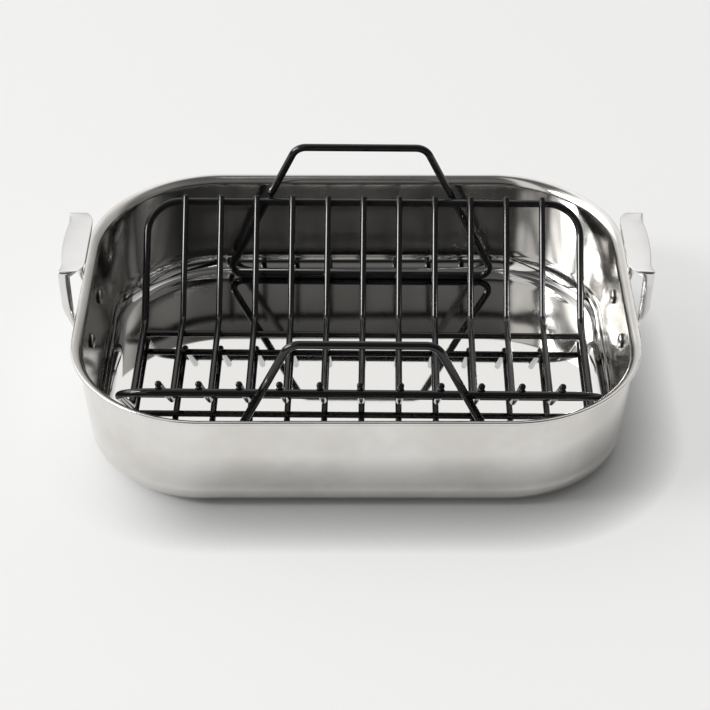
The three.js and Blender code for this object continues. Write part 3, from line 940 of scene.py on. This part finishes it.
def wire_shape(x):
    """Up one arm's slope, across the deck, up the other's, one wire's lay above the frame."""
    tip_y = frame_y - wire_lay * np.sin(arm_angle) + WIRE_TIP * np.cos(arm_angle)
    tip_z = frame_top_z + wire_lay * np.cos(arm_angle) + WIRE_TIP * np.sin(arm_angle)
    corners = np.array([[x, tip_y, tip_z], [x, wire_low_y, deck_z],
                        [x, -wire_low_y, deck_z], [x, -tip_y, tip_z]])
    path = rounded_path(corners, [WIRE_BEND_RADIUS] * 4)
    return tube(path, THIN, AXES[0], THIN_SIDES, rounding=END_ROUNDING)


def brace_shape(side):
    """A straight bar between the two ends of the frame."""
    reach = frame_x - THICK - WELD_GAP
    path = np.array([0, side * brace_y, brace_z]) + np.outer([-reach, 0, reach], AXES[0])
    return tube(path, THIN, AXES[2], THIN_SIDES, rounding=BRACE_ROUNDING)


def loop_shape(side):
    """A trapezium with four bends, upright outside the frame's bar."""
    x = np.array([-GRIP_WIDTH / 2, GRIP_WIDTH / 2, stand_reach, -stand_reach])
    z = np.array([grip_z, grip_z, stand_z, stand_z])
    corners = np.column_stack([x + LOOP_SHIFTS[side], np.full(4, side * loop_y), z])
    radii = [GRIP_BEND_RADIUS] * 2 + [STAND_BEND_RADIUS] * 2
    return tube(rounded_path(corners, radii, True), THICK, AXES[1], THICK_SIDES, True)


print("points of a loop:", len(loop_shape(1)[0]))

# %% [markdown]
# ## Black coating
#
# The coating is a thick, slightly soft-looking black film. It fills small marks, so the
# gloss is even, with the faint dimples of a sprayed film: fine noise in the bump, and a
# slow noise that moves the roughness a little.

# %% The coating, and the pieces of the rack
DIMPLE_SCALE, DRIFT_SCALE = 900.0, 45.0
DEEP_BLACK = (0.005, 0.005, 0.0052, 1)
SOFT_BLACK = (0.009, 0.009, 0.0095, 1)
FILM_BUMP = (0.000005, 0.3)
FILM_ROUGHNESS = (0.06, 0.04)


def black_coating():
    """Dimples in the bump; a slow drift in the colour and the roughness."""
    material, coat = new_finish("rack_coating")
    place = coat.object_place()
    dimples = coat.noise(place, DIMPLE_SCALE, 2.0)
    drift = coat.noise(place, DRIFT_SCALE, 3.0)
    colour = coat.blend(drift, DEEP_BLACK, SOFT_BLACK)
    roughness = coat.varied(FILM_ROUGHNESS, drift)
    normal = coat.bump(dimples, *FILM_BUMP)
    coat.finish(Base_Color=colour, Roughness=roughness, Normal=normal, Specular_IOR_Level=0.5)
    return material


coating = black_coating()


def make_rack_piece(name, shape, *nodes):
    """A piece that rides on the rack."""
    make_piece(name, laid(shape), "rack", coating, nodes)


make_rack_piece("frame", frame_shape(), "rack_frame")
for number, x in enumerate(wire_places, 1):
    make_rack_piece(f"wire_{number:02d}", wire_shape(x), f"rack_wire_{number:02d}")
for side_name, side in SIDES:
    make_rack_piece(f"{side_name}_brace", brace_shape(side), f"rack_brace_{side_name}")
    make_rack_piece(f"{side_name}_loop", loop_shape(side), f"rack_loop_{side_name}")

# %% [markdown]
# ## Welds
#
# Where two wires cross, the weld leaves a small fillet under the coating. Modelling each
# fillet as a blend of two tubes would be slow, and it is hardly seen, so each is a small
# flattened bead that fills the corner between the wires. All of them are one mesh.

# %% Where the beads are
BAR_BEAD = np.array([[2.5], [2.5], [1.3]])
BRACE_BEAD = np.array([[2.3], [2.3], [1.2]])
LOOP_BEAD = np.array([[3.0], [3.0], [1.4]])
BUTT_BEAD = np.array([[1.3], [2.3], [2.2]])


def weld_places():
    """Middle of each bead, and its three half axes as rows of a matrix.

    A bead's axes are three directions, two along the wires and one between them, times its
    half sizes."""
    rise = np.array([0, -np.sin(arm_angle), np.cos(arm_angle)])
    slope = np.array([0, np.cos(arm_angle), np.sin(arm_angle)])
    loop_slope = (stand_reach - GRIP_WIDTH / 2) / (grip_z - stand_z)
    leg_x = GRIP_WIDTH / 2 + (grip_z - frame_top_z) * loop_slope
    leg = unit(np.array([-loop_slope, 0, 1]))
    middles, axes = [], []
    for side in (-1, 1):
        flip = np.array([1, side, 1])
        bar = np.array([0, frame_y, frame_top_z]) + rise * (THICK + WELD_GAP / 2)
        brace = [0, side * brace_y, brace_z + THIN + WELD_GAP / 2]
        along_rack = wire_places[:, None] * AXES[0]
        middles += [along_rack + bar * flip, along_rack + brace]
        on_bar = np.array([AXES[0], slope * flip, rise * flip])
        axes += [np.tile(on_bar * BAR_BEAD, (WIRE_COUNT, 1, 1))]
        axes += [np.tile(AXES * BRACE_BEAD, (WIRE_COUNT, 1, 1))]
        loop_side = side * (frame_y + THICK + WELD_GAP / 2)
        for end in (-1, 1):
            loop = [end * leg_x + LOOP_SHIFTS[side], loop_side, frame_top_z]
            butt = [end * (frame_x - THICK), side * brace_y, (brace_z + frame_low_z) / 2]
            middles += [[loop], [butt]]
            on_loop = np.array([AXES[0], leg * [end, 1, 1], AXES[1]])
            axes += [[on_loop * LOOP_BEAD], [AXES * BUTT_BEAD]]
    return np.concatenate(middles), np.concatenate(axes)


print("beads of weld:", len(weld_places()[0]))

# %% Beads at every crossing
BEAD_RINGS, BEAD_SIDES = 7, 12


def weld_shape():
    """A ball of rings between two poles, stretched along each bead's axes.

    Axes of the other hand turn the ball inside out, so its faces are turned back."""
    middles, axes = weld_places()
    height = np.linspace(0, np.pi, BEAD_RINGS + 2)[1:-1, None]
    turn = np.linspace(0, 2 * np.pi, BEAD_SIDES, endpoint=False)[None, :]
    ring = [np.sin(height) * np.cos(turn), np.sin(height) * np.sin(turn)]
    points, quads, fans = capped(np.stack([*ring, np.cos(height) + 0 * turn], axis=-1))
    points[-2:] = [[0, 0, 1], [0, 0, -1]]
    hand = np.sign(np.linalg.det(axes))[:, None, None]
    placed = middles[:, None] + points @ axes
    shift = len(points) * np.arange(len(middles))[:, None, None]
    quads = np.where(hand > 0, quads + shift, quads[:, ::-1] + shift)
    fans = np.where(hand > 0, fans + shift, fans[:, ::-1] + shift)
    return placed.reshape(-1, 3), quads.reshape(-1, 4), fans.reshape(-1, 3)


make_rack_piece("welds", weld_shape())

# %% [markdown]
# ## Floor
#
# The pan stands on a plain pale surface. It is one large disc, so that its edge stays out
# of every view. More lamps would make it white, but they would burn out the steel as well.
# So for the camera and for mirrors a share of it glows in its own colour, and the rest takes
# the light and the shadow of the lamp. Ambient occlusion darkens the glow near the pan. It
# leans back and to the left, so the shade shows most in front of the pan and on its right,
# and a step clears it on the left, the window's side.

# %% A pale floor
FLOOR_RADIUS = 9.0
FLOOR_SIDES = 96
PALE = (0.895, 0.895, 0.89, 1)
GLOW_SHARE = 0.62
SHADE = (0.05, 0.05, 0.05, 1)
CONTACT_REACH = 0.05
SHADE_LEAN = (-0.25, 0.50, 0.83)
SHADE_SAMPLES = 8
WINDOW_SIDE = (0.10, 0.20)
WINDOW_SIDE_CLEARING = 0.8
SEEING_RAYS = ("Camera", "Glossy", "Transmission")


def pale_floor():
    """Plain paint mixed with its own glow, for the rays that see it."""
    material, paint = new_finish("pale_floor")
    matt = paint.node("ShaderNodeBsdfDiffuse", None, {"Color": PALE})
    lean = paint.node("ShaderNodeCombineXYZ", None, dict(enumerate(SHADE_LEAN)))
    reach = {"Distance": CONTACT_REACH, "Normal": lean}
    settings = {"samples": SHADE_SAMPLES}
    open_sky = paint.node("ShaderNodeAmbientOcclusion", settings, reach, "AO")
    leftward = paint.axis(paint.object_place(), "X") * -1.0
    cleared = WINDOW_SIDE_CLEARING * paint.step(leftward, *WINDOW_SIDE)
    shaded = (1 - open_sky * open_sky) * (1 - cleared)
    glow = paint.node("ShaderNodeEmission", None, {"Color": paint.blend(shaded, PALE, SHADE)})
    seen = [paint.node("ShaderNodeLightPath", None, None, f"Is {ray} Ray") for ray in SEEING_RAYS]
    share = (seen[0] + seen[1] + seen[2]) * GLOW_SHARE
    shown = paint.node("ShaderNodeMixShader", None, {0: share, 1: matt, 2: glow})
    paint.node("ShaderNodeOutputMaterial", None, {"Surface": shown})
    return material


def make_floor():
    """One many-sided face, far wider than the pan, that is stage and not part of it."""
    turn = np.linspace(0, 2 * np.pi, FLOOR_SIDES, endpoint=False)
    rim = np.column_stack([np.cos(turn), np.sin(turn), 0 * turn]) * FLOOR_RADIUS
    mesh = bpy.data.meshes.new("floor")
    mesh.from_pydata(rim.tolist(), [], [list(range(len(rim)))])
    mesh.materials.append(pale_floor())
    floor = bpy.data.objects.new("floor", mesh)
    bpy.context.scene.collection.objects.link(floor)
    print("floor:", FLOOR_RADIUS, "m")


make_floor()

# %% [markdown]
# ## Studio light
#
# Polished metal shows the room, so the room is the light. A panorama of a room would do,
# but a few broad parts, each fading in along a direction, are enough and can be moved. This
# room is pale behind the pan, has a window at the upper left with a panel beside it, is grey
# at the right and dark on the camera's side. That is why the floor of the pan is bright near
# the front and its back wall is dark. A long soft lamp on the left, rolled over, throws the
# shadow and draws the thin highlights on the wires.

# %% The room as a world
BEHIND_Y = (0.10, 0.42)
WALL_Z, WALL_TOP_Z = (-0.02, 0.32), (0.40, 0.60)
RIGHT_X, RIGHT_Y = (0.15, 0.65), (-0.7, -0.3)
LEFT_X, LEFT_BEARING = (0.45, 0.80), (0.98, 1.10)
WINDOW_Z = (0.18, 0.34)
BLIND_Y, BLIND_Z = (0.0, 0.16), (0.36, 0.60)
PANEL_START, PANEL_STOP, PANEL_Z = (0.42, 0.50), (0.88, 0.97), (0.14, 0.30)
FACING_Y, FACING_START_Z, FACING_STOP_Z = (0.45, 0.75), (0.02, 0.12), (0.27, 0.36)
OVER_CAMERA_Y, OVER_CAMERA_Z = (0.30, 0.60), (0.59, 0.67)
CEILING_Z = (0.50, 0.90)
ROOM_TINT = (1, 0.995, 0.985, 1)
DARKEST = 0.012
BEHIND_LEVELS = (0.30, 0.44, 0.32)
BEHIND_DIMMED_RIGHT = 0.65
RIGHT_LEVEL = 0.15
LEFT_LEVEL = 0.12
WINDOW_LEVEL, BLIND_SHARE = 2.4, 0.85
PANEL_LEVEL = 0.75
FACING_LEVEL = 0.16
OVER_CAMERA_LEVEL = 0.06
CEILING_LEVEL = 0.10


def studio_world():
    """Level by direction: a sum of the parts of the room, each a product of smooth steps.

    Steps are along X, Y and Z of the direction, or along the bearing from the camera's side
    round to the left, in radians. In front, Y is turned round, and at the left X is."""
    world = bpy.data.worlds.new("studio")
    bpy.context.scene.world = world
    room = Recipe(world)
    toward = room.node("ShaderNodeTexCoord", None, None, "Generated")
    side, depth, height = [room.axis(toward, name) for name in "XYZ"]
    leftward, forward = side * -1.0, depth * -1.0
    from_front = {0: leftward, 1: forward}
    bearing = room.node("ShaderNodeMath", {"operation": "ARCTAN2"}, from_front)
    behind = room.step(depth, *BEHIND_Y)
    right = room.step(side, *RIGHT_X)
    left = room.step(leftward, *LEFT_X) * room.step(bearing, *LEFT_BEARING)
    blind = room.step(height, *BLIND_Z) * room.step(forward, *BLIND_Y) * BLIND_SHARE
    window = left * room.step(height, *WINDOW_Z) * (1 - blind)
    panel = room.step(bearing, *PANEL_START) * (1 - room.step(bearing, *PANEL_STOP))
    panel = panel * room.step(height, *PANEL_Z)
    facing = room.step(forward, *FACING_Y) * room.step(height, *FACING_START_Z)
    facing = facing * (1 - room.step(height, *FACING_STOP_Z))
    over_camera = room.step(forward, *OVER_CAMERA_Y) * room.step(height, *OVER_CAMERA_Z)
    low, middle, top = BEHIND_LEVELS
    wall = low + room.step(height, *WALL_Z) * middle + room.step(height, *WALL_TOP_Z) * top
    level = DARKEST + behind * (1 - right * BEHIND_DIMMED_RIGHT) * wall
    level = level + right * room.step(depth, *RIGHT_Y) * RIGHT_LEVEL
    level = level + left * LEFT_LEVEL + window * WINDOW_LEVEL + over_camera * OVER_CAMERA_LEVEL
    level = level + room.step(height, *CEILING_Z) * CEILING_LEVEL
    level = level + panel * PANEL_LEVEL + facing * FACING_LEVEL
    light = room.node("ShaderNodeBackground", None, {"Color": ROOM_TINT, "Strength": level})
    room.node("ShaderNodeOutputWorld", None, {"Surface": light})
    print("nodes of the room:", len(room.tree.nodes))


studio_world()

# %% The lamp
LAMP_PLACE = (-3.05, -0.63, 2.20)
LAMP_TARGET = (0, 0, 0.05)
LAMP_SIZE = (1.8, 0.66)
LAMP_POWER = 78
LAMP_ROLL = 50


def soft_lamp(name, place, target, size, power, roll):
    """A rectangle that faces its target, turned by a roll about the line to it."""
    lamp = bpy.data.lights.new(name, "AREA")
    lamp.shape = "RECTANGLE"
    lamp.size, lamp.size_y = size
    lamp.energy = power
    holder = bpy.data.objects.new(name, lamp)
    bpy.context.scene.collection.objects.link(holder)
    holder.location = place
    aim = Vector(target) - Vector(place)
    turn = aim.to_track_quat("-Z", "Y") @ Quaternion((0, 0, 1), np.radians(roll))
    holder.rotation_euler = turn.to_euler()
    print(name, "lamp:", power, "W at", round(aim.length, 2), "m")


soft_lamp("key", LAMP_PLACE, LAMP_TARGET, LAMP_SIZE, LAMP_POWER, LAMP_ROLL)

# %% [markdown]
# ## Camera
#
# A long lens from above the front of the pan, looking down on its middle, as in the
# photograph. The place and the tilt were solved from the outline of the rim.

# %% Camera at the photograph's place
CAMERA_PLACE = (-0.000957, -1.2289, 0.9414)
CAMERA_TILT = np.radians(53.203)
LENS = 103.38
SENSOR_WIDTH = 36.0

camera_data = bpy.data.cameras.new("camera")
camera_data.sensor_width = SENSOR_WIDTH
camera_data.lens = LENS
camera = bpy.data.objects.new("camera", camera_data)
camera.location = CAMERA_PLACE
camera.rotation_euler = (CAMERA_TILT, 0, 0)
bpy.context.scene.collection.objects.link(camera)
bpy.context.scene.camera = camera
bpy.context.scene.view_settings.view_transform = "Standard"
print("lens:", LENS, "mm")
